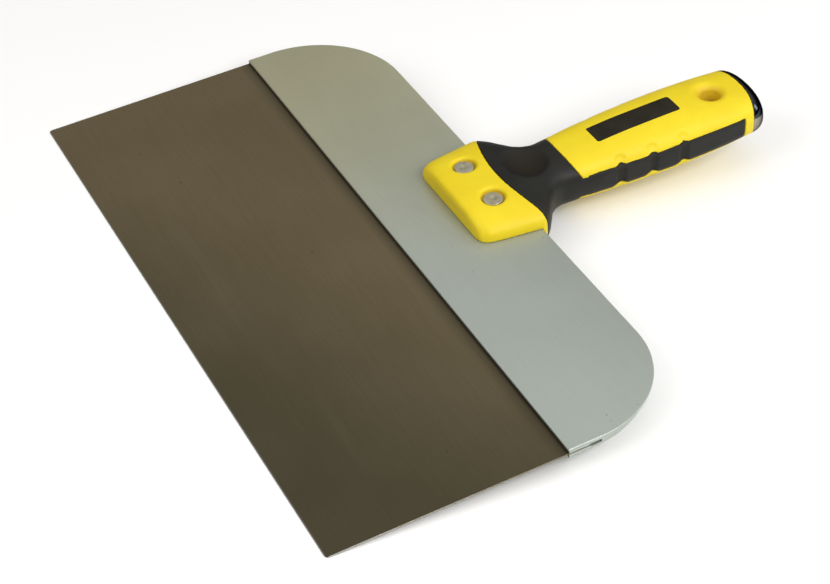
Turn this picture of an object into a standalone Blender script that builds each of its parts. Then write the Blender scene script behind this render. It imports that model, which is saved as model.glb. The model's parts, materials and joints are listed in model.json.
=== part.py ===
"""Drywall taping knife: steel blade, slotted aluminium backing, two-material handle.

Everything is first drawn in the tool's own axes: X along the working edge, Y from the
working edge towards the handle, Z out of the blade's top face, origin in the middle of
the working edge.  At the end the tool is laid on its working edge and the underside of
its head, the way it rests on a table.
"""
import bmesh
import bpy
from math import atan2, cos, pi, sin, sqrt
from mathutils import Matrix, Vector

MM = 0.001

# Blade and backing
BLADE_WIDTH = 300 * MM
BLADE_DEPTH = 111 * MM
BLADE_THICKNESS = 0.5 * MM
BLADE_CORNER_RADIUS = 1.2 * MM
BACKING_FRONT = 102 * MM
BACKING_REAR = 159.2 * MM
BACKING_THICKNESS = 4.5 * MM
BACKING_LEFT_CORNER_RADIUS = 46 * MM
BACKING_RIGHT_CORNER_RADIUS = 41.5 * MM
BACKING_CHAMFER = 0.35 * MM
LIP_GAP = 0.8 * MM
SLOT_GAP = 1.5 * MM
SLOT_STEP = 111.4 * MM
SLOT_END = 116.7 * MM

# Handle envelope: distance from the working edge, half width, half height,
# height of the middle, squareness of the section
HANDLE_SECTIONS = (
    (132.0, 22.6, 9.6, 0.0, 3.0),
    (132.5, 24.8, 10.7, 0.0, 3.0),
    (134.0, 27.2, 11.6, 0.0, 3.1),
    (137.0, 29.2, 12.0, 0.0, 3.2),
    (148.0, 31.5, 12.1, 0.0, 3.2),
    (156.0, 32.5, 12.1, 0.0, 3.3),
    (160.0, 33.0, 12.0, 0.1, 3.2),
    (164.0, 30.2, 11.8, 0.3, 3.1),
    (168.0, 25.0, 11.5, 0.5, 3.0),
    (172.0, 19.6, 11.4, 0.7, 2.9),
    (176.0, 16.6, 11.4, 0.9, 2.8),
    (180.0, 15.7, 11.5, 1.0, 2.8),
    (185.0, 16.4, 11.3, 1.2, 2.8),
    (200.0, 17.7, 12.1, 1.5, 2.8),
    (220.0, 19.0, 13.0, 1.9, 2.8),
    (240.0, 19.7, 13.1, 2.2, 2.9),
    (260.0, 19.6, 12.0, 2.5, 3.0),
    (272.0, 19.2, 11.0, 2.7, 3.0),
    (282.0, 18.7, 10.0, 2.8, 3.0),
)
POINTS_AROUND = 40

# Borders between the yellow core, the black grip and the steel cap
HEAD_BORDER_MIDDLE = 155 * MM
HEAD_BORDER_RADIUS = 76 * MM
COLLAR_END_MIDDLE = 191.3 * MM
COLLAR_END_SLOPE = 0.51
CAP_BORDER_MIDDLE = 281.3 * MM
CAP_BORDER_RADIUS = 37 * MM
STRIP_HALF_HEIGHT = 4.85 * MM
STRIP_DEPTH = 2.6 * MM
STRIP_END = 272.3 * MM
JOINT_GAP = 0.2 * MM

# Neck of the core inside the soft collar
SPINE_HALF_WIDTH = 11.5 * MM
SPINE_HALF_HEIGHT = 7.5 * MM
SPINE_MIDDLE_HEIGHT = 0.6 * MM

# Finger grooves and the dimples beside them
GROOVE_PLACES = (207.7 * MM, 223.6 * MM, 239.5 * MM)
GROOVE_RADIUS = 4.2 * MM
GROOVE_DEPTH = 1.7 * MM
DIMPLE_RADIUS = 4.5 * MM
DIMPLE_DEPTH = 0.5 * MM
DIMPLE_OFFSET = 17.2 * MM

# Rivets
RIVET_SPACING = 26.2 * MM
RIVET_PLACE = 146 * MM
RIVET_HEAD_RADIUS = 4.7 * MM
RIVET_HEAD_TOP = 10.8 * MM
RIVET_HEAD_THICKNESS = 1.2 * MM
RIVET_SHANK_RADIUS = 2.5 * MM
RIVET_RECESS_RADIUS = 5.3 * MM
WASHER_THICKNESS = 0.9 * MM
WASHER_HOLE_RADIUS = 2.75 * MM

# Hang hole, label panel, end cap
HANG_HOLE_PLACE = 264 * MM
HANG_HOLE_RADIUS = 4.0 * MM
HANG_SINK_RADIUS = 6.9 * MM
HANG_SINK_DEPTH = 3.4 * MM
LABEL_HALF_WIDTH = 5.6 * MM
LABEL_START = 203 * MM
LABEL_END = 246 * MM
LABEL_THICKNESS = 0.6 * MM
CAP_DEPTH = 6.3 * MM
CAP_ROUNDING = 5.8 * MM
CAP_WALL = 1.5 * MM
CAP_PIN_RADIUS = 2.2 * MM
CAP_PIN_START = 271 * MM

# Distance by which cutting bodies overshoot the faces they cut
OVER = 5 * MM


# ---------------------------------------------------------------- materials

def make_material(name, colour, metallic, roughness):
    """Plain Principled material."""
    material = bpy.data.materials.new(name)
    material.use_nodes = True
    shader = material.node_tree.nodes["Principled BSDF"]
    shader.inputs["Base Color"].default_value = (*colour, 1.0)
    shader.inputs["Metallic"].default_value = metallic
    shader.inputs["Roughness"].default_value = roughness
    return material


# ---------------------------------------------------------------- bodies

def body_from_mesh(name, bm, material=None):
    """Turn a bmesh into a named object with outward faces."""
    bmesh.ops.recalc_face_normals(bm, faces=bm.faces)
    mesh = bpy.data.meshes.new(name)
    bm.to_mesh(mesh)
    bm.free()
    body = bpy.data.objects.new(name, mesh)
    bpy.context.scene.collection.objects.link(body)
    if material is not None:
        mesh.materials.append(material)
    return body


def add_loft(bm, rings):
    """Skin a row of equal-length rings and close both ends."""
    rows = [[bm.verts.new(point) for point in ring] for ring in rings]
    count = len(rows[0])
    for row, following in zip(rows, rows[1:]):
        for i in range(count):
            j = (i + 1) % count
            bm.faces.new((row[i], row[j], following[j], following[i]))
    bm.faces.new(rows[0])
    bm.faces.new(rows[-1])


def add_prism(bm, outline, low, high):
    """Upright prism on an outline of (x, y) points."""
    rings = [[Vector((x, y, z)) for x, y in outline] for z in (low, high)]
    add_loft(bm, rings)


def add_box(bm, x_range, y_range, z_range):
    """Box between three ranges."""
    (x0, x1), (y0, y1), (z0, z1) = x_range, y_range, z_range
    add_prism(bm, ((x0, y0), (x1, y0), (x1, y1), (x0, y1)), z0, z1)


def add_turned(bm, profile, place, steps=24):
    """Body turned round an upright axis from (radius, height) points on the outside.

    The first and last points are joined by flat discs.
    """
    rings = []
    for radius, height in profile:
        angles = [2 * pi * k / steps for k in range(steps)]
        rings.append([place + Vector((radius * cos(t), radius * sin(t), height)) for t in angles])
    add_loft(bm, rings)


def add_turned_ring(bm, profile, place, steps=24):
    """Closed (radius, height) profile turned round an upright axis, with a hole through it."""
    rows = []
    for k in range(steps):
        t = 2 * pi * k / steps
        rows.append([bm.verts.new(place + Vector((r * cos(t), r * sin(t), z))) for r, z in profile])
    count = len(profile)
    for k, row in enumerate(rows):
        following = rows[(k + 1) % steps]
        for i in range(count):
            j = (i + 1) % count
            bm.faces.new((row[i], row[j], following[j], following[i]))


def cut(body, cutter, operation="DIFFERENCE"):
    """Boolean with a hidden cutting body."""
    step = body.modifiers.new(operation.title(), "BOOLEAN")
    step.operation = operation
    step.solver = "EXACT"
    step.object = cutter
    cutter.hide_render = True
    cutter.display_type = "WIRE"


def cutter(name, build):
    """Make a cutting body from a function that fills a bmesh."""
    bm = bmesh.new()
    build(bm)
    return body_from_mesh(name, bm)


# ---------------------------------------------------------------- envelope

def smooth_between(values, places, at):
    """Monotone-looking cubic through (place, value) pairs."""
    last = len(places) - 1
    if at <= places[0]:
        return values[0]
    if at >= places[last]:
        return values[last]
    k = max(i for i in range(last) if places[i] <= at)
    span = places[k + 1] - places[k]
    slopes = [(values[i + 1] - values[i]) / (places[i + 1] - places[i]) for i in range(last)]

    def tangent(i):
        if i in (0, last):
            return slopes[min(i, last - 1)]
        before, after = slopes[i - 1], slopes[i]
        return 0.0 if before * after <= 0 else 2 * before * after / (before + after)

    t = (at - places[k]) / span
    start = (1 + 2 * t) * (1 - t) ** 2 * values[k] + t * (1 - t) ** 2 * span * tangent(k)
    end = t * t * (3 - 2 * t) * values[k + 1] + t * t * (t - 1) * span * tangent(k + 1)
    return start + end


SECTION_PLACES = [row[0] * MM for row in HANDLE_SECTIONS]


def section(y):
    """Half width, half height, middle height and squareness of the envelope at y."""
    columns = list(zip(*HANDLE_SECTIONS))
    sizes = [smooth_between(column, SECTION_PLACES, y) for column in columns[1:]]
    return sizes[0] * MM, sizes[1] * MM, sizes[2] * MM, sizes[3]


def section_ring(y, inset=0.0, border=None):
    """One ring of the envelope; border(x) moves its points along the handle."""
    half_width, half_height, middle, squareness = section(y)
    ring = []
    for k in range(POINTS_AROUND):
        t = 2 * pi * (k + 0.5) / POINTS_AROUND
        c, s = cos(t), sin(t)
        x = (half_width - inset) * abs(c) ** (2 / squareness) * (1 if c > 0 else -1)
        z = (half_height - inset) * abs(s) ** (2 / squareness) * (1 if s > 0 else -1)
        ring.append(Vector((x, y if border is None else y + border(x), middle + z)))
    return ring


def envelope_height(x, y):
    """Height of the envelope's top surface."""
    half_width, half_height, middle, squareness = section(y)
    ratio = min(1.0, abs(x) / half_width)
    return middle + half_height * (1 - ratio ** squareness) ** (1 / squareness)


def places_between(first, last, step):
    """Evenly spaced places that include both ends."""
    count = max(1, round((last - first) / step))
    return [first + (last - first) * k / count for k in range(count + 1)]


def cap_border(x):
    """How far the cap's front border lies before its middle, at x."""
    return sqrt(CAP_BORDER_RADIUS ** 2 - x * x) - CAP_BORDER_RADIUS


def envelope(name, material, last_rings):
    """Body of the handle envelope from the front of the head to the given rear rings."""
    head = [row for row in SECTION_PLACES if row < 140 * MM]
    neck = places_between(142 * MM, 162 * MM, 4 * MM) + places_between(164 * MM, 186 * MM, 2 * MM)
    grip = places_between(190 * MM, 268 * MM, 6 * MM)
    bm = bmesh.new()
    add_loft(bm, [section_ring(y) for y in head + neck + grip] + last_rings)
    return body_from_mesh(name, bm, material)


# ---------------------------------------------------------------- cutting bodies

def plan_arc(middle, radius, half_width, steps, gap=0.0):
    """Points of a border arc that bulges towards the working edge."""
    points = []
    for k in range(steps + 1):
        x = -half_width + 2 * half_width * k / steps
        points.append((x, middle + gap + radius - sqrt(radius ** 2 - x * x)))
    return points


def collar_region(gap):
    """Slab of the neck that is soft grip, shrunk by a gap, less the core's spine."""
    front = plan_arc(HEAD_BORDER_MIDDLE, HEAD_BORDER_RADIUS, 45 * MM, 18, gap)
    rear = COLLAR_END_MIDDLE + 10 * MM
    slab = cutter("collar_slab", lambda bm: add_prism(
        bm, front + [(45 * MM, rear), (-45 * MM, rear)], -30 * MM, 30 * MM))

    # Chevron-shaped rear border: the core reaches further forward on top and underneath
    def add_chevron(bm):
        reach = 30 * MM
        forward = COLLAR_END_MIDDLE - COLLAR_END_SLOPE * reach - gap
        middle = COLLAR_END_MIDDLE - gap
        height = section(COLLAR_END_MIDDLE)[2]
        corners = ((forward, reach), (middle, 0.0), (forward, -reach), (rear + OVER, -reach),
                   (rear + OVER, reach))
        rings = [[Vector((x, y, height + z)) for y, z in corners] for x in (-50 * MM, 50 * MM)]
        add_loft(bm, rings)

    def add_spine(bm):
        grow = gap
        rings = []
        for y in (140 * MM, 215 * MM):
            ring = []
            for k in range(16):
                t = 2 * pi * (k + 0.5) / 16
                c, s = cos(t), sin(t)
                x = (SPINE_HALF_WIDTH + grow) * abs(c) ** 0.6 * (1 if c > 0 else -1)
                z = (SPINE_HALF_HEIGHT + grow) * abs(s) ** 0.6 * (1 if s > 0 else -1)
                ring.append(Vector((x, y, SPINE_MIDDLE_HEIGHT + z)))
            rings.append(ring)
        add_loft(bm, rings)

    cut(slab, cutter("collar_chevron", add_chevron))
    cut(slab, cutter("core_spine", add_spine))
    return slab


def side_strips(name, gap):
    """Curved bars that cover the side strips, both sides of the handle."""
    def build(bm):
        for side in (-1, 1):
            rings = []
            start = 186 * MM
            for y in places_between(start, STRIP_END - gap, 6 * MM):
                half_width, _, middle, _ = section(y)
                inner = side * (half_width - STRIP_DEPTH + gap)
                outer = side * (half_width + OVER)
                low = middle - STRIP_HALF_HEIGHT + gap
                high = middle + STRIP_HALF_HEIGHT - gap
                rings.append([Vector((inner, y, low)), Vector((outer, y, low)),
                              Vector((outer, y, high)), Vector((inner, y, high))])
            add_loft(bm, rings)
    return cutter(name, build)


def add_finger_grooves(bm):
    """Upright round channels in both sides of the handle."""
    for y in GROOVE_PLACES:
        half_width, _, middle, _ = section(y)
        for side in (-1, 1):
            x = side * (half_width + GROOVE_RADIUS - GROOVE_DEPTH)
            add_turned(bm, ((GROOVE_RADIUS, -30 * MM), (GROOVE_RADIUS, 30 * MM)),
                       Vector((x, y, middle)), steps=20)


def add_dimples(bm):
    """Balls that leave a shallow round mark beside each finger groove, top and bottom."""
    for y in GROOVE_PLACES:
        _, _, middle, _ = section(y)
        surface = envelope_height(DIMPLE_OFFSET, y) - middle
        for side in (-1, 1):
            for face in (-1, 1):
                outward = Vector((0.55 * side, 0.0, 0.83 * face)).normalized()
                base = Vector((side * DIMPLE_OFFSET, y, middle + face * surface))
                place = Matrix.Translation(base + outward * (DIMPLE_RADIUS - DIMPLE_DEPTH))
                bmesh.ops.create_uvsphere(bm, u_segments=16, v_segments=9,
                                          radius=DIMPLE_RADIUS, matrix=place)


def add_backing_pocket(bm):
    """Room for the backing between the jaws of the head."""
    room = BACKING_THICKNESS / 2 + JOINT_GAP
    add_box(bm, (-60 * MM, 60 * MM), (120 * MM, BACKING_REAR + JOINT_GAP), (-room, room))


def rivet_places():
    """Axis points of the two rivets."""
    return [Vector((side * RIVET_SPACING / 2, RIVET_PLACE, 0.0)) for side in (-1, 1)]


def add_rivet_rooms(bm):
    """Shank bores with a sunk seat at each end."""
    seat = RIVET_HEAD_TOP - RIVET_HEAD_THICKNESS - JOINT_GAP
    bore = RIVET_SHANK_RADIUS + JOINT_GAP
    reach = 20 * MM
    for place in rivet_places():
        add_turned(bm, ((RIVET_RECESS_RADIUS, -reach), (RIVET_RECESS_RADIUS, -seat),
                        (bore, -seat), (bore, seat),
                        (RIVET_RECESS_RADIUS, seat), (RIVET_RECESS_RADIUS, reach)), place)


def add_hang_hole(bm):
    """Through hole, countersunk from both faces."""
    y = HANG_HOLE_PLACE
    top = envelope_height(0.0, y)
    middle = section(y)[2]
    bottom = 2 * middle - top
    wide = HANG_SINK_RADIUS + 0.45 * OVER
    profile = ((wide, bottom - OVER), (wide, bottom - 0.3 * OVER), (HANG_SINK_RADIUS, bottom),
               (HANG_HOLE_RADIUS + 0.9 * MM, bottom + 0.5 * HANG_SINK_DEPTH),
               (HANG_HOLE_RADIUS, bottom + HANG_SINK_DEPTH),
               (HANG_HOLE_RADIUS, top - HANG_SINK_DEPTH),
               (HANG_HOLE_RADIUS + 0.9 * MM, top - 0.5 * HANG_SINK_DEPTH),
               (HANG_SINK_RADIUS, top), (wide, top + 0.3 * OVER), (wide, top + OVER))
    add_turned(bm, profile, Vector((0.0, y, 0.0)), steps=32)


def add_label_plate(bm, margin, below, above):
    """Plate that follows the handle's top surface, between two offsets from it."""
    rings = []
    half_width = LABEL_HALF_WIDTH + margin
    columns = [half_width * k / 3 for k in range(-3, 4)]
    for y in places_between(LABEL_START - margin, LABEL_END + margin, 5 * MM):
        bottom = [Vector((x, y, envelope_height(x, y) + below)) for x in columns]
        top = [Vector((x, y, envelope_height(x, y) + above)) for x in reversed(columns)]
        rings.append(bottom + top)
    add_loft(bm, rings)


# ---------------------------------------------------------------- pieces

def rounded_corner(centre, radius, start, end, steps):
    """Arc points for a plan outline; angles in radians."""
    angles = [start + (end - start) * k / steps for k in range(steps + 1)]
    return [(centre[0] + radius * cos(t), centre[1] + radius * sin(t)) for t in angles]


def make_blade(material):
    """Spring-steel sheet with slightly rounded front corners."""
    half, r = BLADE_WIDTH / 2, BLADE_CORNER_RADIUS
    outline = rounded_corner((-half + r, r), r, pi, 1.5 * pi, 4)
    outline += rounded_corner((half - r, r), r, 1.5 * pi, 2 * pi, 4)
    outline += [(half, BLADE_DEPTH), (-half, BLADE_DEPTH)]
    bm = bmesh.new()
    add_prism(bm, outline, -BLADE_THICKNESS / 2, BLADE_THICKNESS / 2)
    return body_from_mesh("blade", bm, material)


def make_backing(material):
    """Slotted aluminium extrusion with round rear corners and two rivet holes."""
    half = BLADE_WIDTH / 2
    left, right = BACKING_LEFT_CORNER_RADIUS, BACKING_RIGHT_CORNER_RADIUS

    def outline(inset):
        points = [(-half + inset, BACKING_FRONT + inset), (half - inset, BACKING_FRONT + inset)]
        middle = (half - right, BACKING_REAR - right)
        points += rounded_corner(middle, right - inset, 0.0, 0.5 * pi, 16)
        middle = (-half + left, BACKING_REAR - left)
        points += rounded_corner(middle, left - inset, 0.5 * pi, pi, 16)
        return points

    top = BACKING_THICKNESS / 2
    levels = ((-top, BACKING_CHAMFER), (-top + BACKING_CHAMFER, 0.0),
              (top - BACKING_CHAMFER, 0.0), (top, BACKING_CHAMFER))
    bm = bmesh.new()
    add_loft(bm, [[Vector((x, y, z)) for x, y in outline(inset)] for z, inset in levels])
    backing = body_from_mesh("backing", bm, material)

    def add_slot(bm):
        corners = ((BACKING_FRONT - OVER, LIP_GAP / 2), (SLOT_STEP, LIP_GAP / 2),
                   (SLOT_STEP, SLOT_GAP / 2), (SLOT_END, SLOT_GAP / 2))
        ring = list(corners) + [(y, -z) for y, z in reversed(corners)]
        add_loft(bm, [[Vector((x, y, z)) for y, z in ring] for x in (-half - OVER, half + OVER)])

    def add_holes(bm):
        for place in rivet_places():
            add_turned(bm, ((RIVET_SHANK_RADIUS + JOINT_GAP, -OVER),
                            (RIVET_SHANK_RADIUS + JOINT_GAP, OVER)), place)

    cut(backing, cutter("backing_slot", add_slot))
    cut(backing, cutter("backing_holes", add_holes))
    return backing


def dome_rings(front, rear, inset, rounding):
    """Rings of a domed end that follows the curved border between core and cap."""
    half_width, half_height, middle, squareness = section(CAP_BORDER_MIDDLE)
    shapes = [(front, 0.0, 1.0)]
    for k in range(1 if rounding > 0 else 0, 5):
        t = 0.5 * pi * k / 4
        shapes.append((rear - rounding + rounding * sin(t), rounding * (1 - cos(t)), 1.0))
    shapes += [(rear, rounding, scale) for scale in (0.7, 0.4, 0.12)]
    rings = []
    for y, extra, scale in shapes:
        ring = []
        for k in range(POINTS_AROUND):
            t = 2 * pi * (k + 0.5) / POINTS_AROUND
            c, s = cos(t), sin(t)
            wide = (half_width - inset - extra) * scale * abs(c) ** (2 / squareness)
            high = (half_height - inset - extra) * scale * abs(s) ** (2 / squareness)
            x = wide if c > 0 else -wide
            z = high if s > 0 else -high
            ring.append(Vector((x, y + cap_border(x), middle + z)))
        rings.append(ring)
    return rings


def make_handle_core(material):
    """Yellow moulding: head, neck spine, body and the boss inside the steel cap."""
    border = CAP_BORDER_MIDDLE - JOINT_GAP
    boss_end = CAP_BORDER_MIDDLE + CAP_DEPTH - CAP_WALL - JOINT_GAP
    rear = [section_ring(border, 0.0, cap_border)]
    rear += dome_rings(border, boss_end, CAP_WALL + JOINT_GAP, CAP_ROUNDING - CAP_WALL)
    core = envelope("handle_core", material, rear)
    cut(core, collar_region(0.0))
    cut(core, side_strips("strip_pockets", 0.0))
    cut(core, cutter("jaw_pocket", add_backing_pocket))
    cut(core, cutter("rivet_rooms", add_rivet_rooms))
    cut(core, cutter("hang_hole", add_hang_hole))
    cut(core, cutter("core_grooves", add_finger_grooves))
    cut(core, cutter("core_dimples", add_dimples))
    cut(core, cutter("label_recess", lambda bm: add_label_plate(
        bm, JOINT_GAP, -LABEL_THICKNESS - JOINT_GAP, OVER)))

    def add_pin_bore(bm):
        radius = CAP_PIN_RADIUS + JOINT_GAP
        middle = section(CAP_BORDER_MIDDLE)[2]
        rings = []
        for y in (CAP_PIN_START - JOINT_GAP, boss_end + OVER):
            angles = [2 * pi * k / 16 for k in range(16)]
            rings.append([Vector((radius * cos(t), y, middle + radius * sin(t))) for t in angles])
        add_loft(bm, rings)

    cut(core, cutter("pin_bore", add_pin_bore))
    return core


def make_soft_grip(material):
    """Black overmoulding: collar, wings behind the backing and two side strips."""
    grip = envelope("soft_grip", material, [section_ring(276 * MM)])
    region = collar_region(JOINT_GAP)
    cut(region, side_strips("strip_bars", JOINT_GAP), "UNION")
    cut(grip, region, "INTERSECT")
    cut(grip, cutter("grip_backing_room", add_backing_pocket))
    cut(grip, cutter("grip_grooves", add_finger_grooves))
    return grip


def make_rivet(name, place, material):
    """Semi-tubular rivet: flat dimpled head on top, rolled end underneath."""
    top = RIVET_HEAD_TOP
    seat = top - RIVET_HEAD_THICKNESS
    shank = RIVET_SHANK_RADIUS
    roll_low = -seat - WASHER_THICKNESS - 1.0 * MM
    roll_high = -seat - WASHER_THICKNESS - 0.05 * MM
    hollow = 1.5 * MM
    profile = ((0.35 * MM, top - 0.55 * MM), (1.1 * MM, top - 0.4 * MM), (1.5 * MM, top),
               (4.3 * MM, top), (RIVET_HEAD_RADIUS, top - 0.35 * MM),
               (RIVET_HEAD_RADIUS, seat), (shank, seat),
               (shank, roll_high), (3.9 * MM, roll_high), (4.1 * MM, 0.5 * (roll_low + roll_high)),
               (3.6 * MM, roll_low), (2.2 * MM, roll_low), (hollow, roll_low + 0.7 * MM),
               (hollow, roll_low + 6 * MM), (0.35 * MM, roll_low + 6.8 * MM))
    bm = bmesh.new()
    add_turned(bm, profile, place)
    return body_from_mesh(name, bm, material)


def make_washer(name, place, material):
    """Flat washer under a rivet's rolled end."""
    high = -(RIVET_HEAD_TOP - RIVET_HEAD_THICKNESS) - 0.02 * MM
    low = high - WASHER_THICKNESS + 0.04 * MM
    bevel = 0.15 * MM
    outer = RIVET_HEAD_RADIUS + 0.2 * MM
    profile = ((WASHER_HOLE_RADIUS, low), (outer - bevel, low), (outer, low + bevel),
               (outer, high - bevel), (outer - bevel, high), (WASHER_HOLE_RADIUS, high))
    bm = bmesh.new()
    add_turned_ring(bm, profile, place)
    return body_from_mesh(name, bm, material)


def make_label_panel(material):
    """Plain panel let into the top of the handle."""
    bm = bmesh.new()
    add_label_plate(bm, 0.0, -LABEL_THICKNESS, 0.05 * MM)
    return body_from_mesh("label_panel", bm, material)


def make_end_cap(material):
    """Pressed steel cup over the end of the core."""
    rear = CAP_BORDER_MIDDLE + CAP_DEPTH
    outer = dome_rings(CAP_BORDER_MIDDLE, rear, -0.1 * MM, CAP_ROUNDING)
    inner = dome_rings(CAP_BORDER_MIDDLE, rear - CAP_WALL, CAP_WALL, CAP_ROUNDING - CAP_WALL)
    bm = bmesh.new()
    add_loft(bm, outer[::-1] + inner)
    return body_from_mesh("end_cap", bm, material)


def make_cap_pin(material):
    """Ribbed pin between the cap and the core."""
    middle = section(CAP_BORDER_MIDDLE)[2]
    end = CAP_BORDER_MIDDLE + CAP_DEPTH - CAP_WALL - 0.1 * MM
    r = CAP_PIN_RADIUS
    groove = r - 0.35 * MM
    stations = [(r - 0.6 * MM, CAP_PIN_START), (r, CAP_PIN_START + 0.8 * MM)]
    for k in range(3):
        y = CAP_PIN_START + (2.6 + 2.2 * k) * MM
        stations += [(r, y), (groove, y + 0.1 * MM), (r, y + 1.2 * MM)]
    stations += [(r, end)]
    rings = []
    for radius, y in stations:
        angles = [2 * pi * k / 16 for k in range(16)]
        rings.append([Vector((radius * cos(t), y, middle + radius * sin(t))) for t in angles])
    bm = bmesh.new()
    add_loft(bm, rings)
    return body_from_mesh("cap_pin", bm, material)


def shade(body):
    """Smooth shading that keeps real edges sharp."""
    for face in body.data.polygons:
        face.use_smooth = True
    body.data.set_sharp_from_angle(angle=0.6)


def lay_at_rest(pieces):
    """Turn and lift the tool on to its working edge and head, centred over the origin."""
    def slope(y):
        _, half_height, middle, _ = section(y)
        return atan2(half_height - middle - BLADE_THICKNESS / 2, y)

    tilt = max(slope(y) for y in places_between(133 * MM, 170 * MM, 0.5 * MM))
    turn = Matrix.Rotation(tilt, 4, "X")
    bpy.context.view_layer.update()
    graph = bpy.context.evaluated_depsgraph_get()
    corners = []
    for piece in pieces:
        mesh = piece.evaluated_get(graph).to_mesh()
        corners += [turn @ vertex.co for vertex in mesh.vertices]
    low = Vector([min(c[axis] for c in corners) for axis in range(3)])
    high = Vector([max(c[axis] for c in corners) for axis in range(3)])
    rest = bpy.data.objects.new("rest_frame", None)
    bpy.context.scene.collection.objects.link(rest)
    rest.location = (-(low.x + high.x) / 2, -(low.y + high.y) / 2, -low.z)
    rest.rotation_euler = (tilt, 0.0, 0.0)
    for body in list(bpy.context.scene.objects):
        if body is not rest:
            body.parent = rest


def main():
    for old in list(bpy.data.objects):
        bpy.data.objects.remove(old)
    blade_steel = make_material("tempered_blade_steel", (0.12, 0.10, 0.07), 0.9, 0.38)
    aluminium = make_material("satin_aluminium", (0.55, 0.57, 0.52), 0.9, 0.45)
    yellow = make_material("yellow_plastic", (0.90, 0.70, 0.03), 0.0, 0.42)
    black = make_material("black_soft_plastic", (0.03, 0.03, 0.03), 0.0, 0.70)
    rivet_steel = make_material("rivet_steel", (0.45, 0.43, 0.40), 0.9, 0.40)
    washer_steel = make_material("washer_steel", (0.50, 0.50, 0.48), 0.9, 0.35)
    label_black = make_material("label_black", (0.02, 0.02, 0.02), 0.0, 0.35)
    chrome = make_material("chrome", (0.80, 0.80, 0.82), 1.0, 0.08)
    pin_steel = make_material("pin_steel", (0.42, 0.42, 0.42), 0.9, 0.45)

    pieces = [make_blade(blade_steel), make_backing(aluminium), make_handle_core(yellow),
              make_soft_grip(black)]
    for side, place in zip(("left", "right"), rivet_places()):
        pieces.append(make_rivet("rivet_" + side, place, rivet_steel))
        pieces.append(make_washer("rivet_washer_" + side, place, washer_steel))
    pieces += [make_label_panel(label_black), make_end_cap(chrome), make_cap_pin(pin_steel)]
    for piece in pieces:
        shade(piece)
    lay_at_rest(pieces)


main()
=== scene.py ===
import json
from math import atan2, cos, pi, sin, sqrt

import bmesh
import bpy
import numpy as np
from mathutils import Matrix, Vector


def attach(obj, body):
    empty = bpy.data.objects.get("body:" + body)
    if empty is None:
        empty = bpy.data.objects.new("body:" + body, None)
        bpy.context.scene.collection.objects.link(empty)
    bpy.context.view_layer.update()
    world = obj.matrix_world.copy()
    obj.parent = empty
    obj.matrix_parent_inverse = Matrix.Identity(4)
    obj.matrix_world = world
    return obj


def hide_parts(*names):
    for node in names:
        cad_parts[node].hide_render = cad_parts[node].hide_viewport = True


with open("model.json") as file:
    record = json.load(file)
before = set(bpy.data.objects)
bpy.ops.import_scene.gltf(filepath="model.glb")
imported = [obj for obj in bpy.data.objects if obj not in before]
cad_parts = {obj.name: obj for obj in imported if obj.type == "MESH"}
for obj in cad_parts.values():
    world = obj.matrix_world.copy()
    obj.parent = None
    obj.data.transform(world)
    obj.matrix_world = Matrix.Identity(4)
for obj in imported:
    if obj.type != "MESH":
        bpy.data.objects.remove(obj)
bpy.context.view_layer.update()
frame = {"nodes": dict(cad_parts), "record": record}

MM = 0.001

# Blade and backing
BLADE_WIDTH = 300.0
BLADE_DEPTH = 111.0
BLADE_THICKNESS = 0.5
BLADE_CORNER_RADIUS = 1.6
BLADE_EDGE_BREAK = 0.12
BLADE_WORN_WIDTH = 0.2
BACKING_FRONT = 102.0
BACKING_REAR = 159.2
BACKING_THICKNESS = 4.5
BACKING_LEFT_CORNER_RADIUS = 46.0
BACKING_RIGHT_TOP_RADIUS = 42.2
BACKING_RIGHT_BOTTOM_RADIUS = 47.0
BACKING_ROLLED_EDGE = 0.55
LIP_GAP = 0.62
SLOT_GAP = 1.5
SLOT_STEP = 111.4
SLOT_END = 116.7

# Handle envelope: distance from the working edge, half width, half height,
# height of the middle, squareness of the section
HANDLE_SECTIONS = (
    (131.3, 24.2, 9.6, 0.0, 3.0),
    (131.8, 26.2, 10.7, 0.0, 3.0),
    (133.4, 28.2, 11.6, 0.0, 3.1),
    (136.7, 29.7, 12.0, 0.0, 3.2),
    (148.0, 31.5, 12.1, 0.0, 3.2),
    (156.0, 32.5, 12.1, 0.0, 3.3),
    (160.0, 33.0, 12.0, 0.1, 3.2),
    (164.0, 30.2, 11.8, 0.3, 3.1),
    (168.0, 25.0, 11.5, 0.5, 3.0),
    (172.0, 19.6, 11.4, 0.7, 2.9),
    (176.0, 16.6, 11.4, 0.9, 2.8),
    (180.0, 15.6, 11.3, 0.95, 2.75),
    (185.0, 16.2, 11.15, 1.1, 2.75),
    (200.0, 17.6, 12.0, 1.4, 2.7),
    (220.0, 18.9, 12.9, 1.65, 2.62),
    (240.0, 19.6, 13.0, 1.85, 2.62),
    (260.0, 19.5, 11.95, 2.2, 2.72),
    (272.0, 19.1, 10.85, 2.45, 2.75),
    (282.0, 18.6, 9.9, 2.55, 2.8),
)
HANDLE_FRONT = HANDLE_SECTIONS[0][0]
HANDLE_FRONT_ROUNDING = 0.8
JAW_CLEARANCE = 0.05

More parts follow.
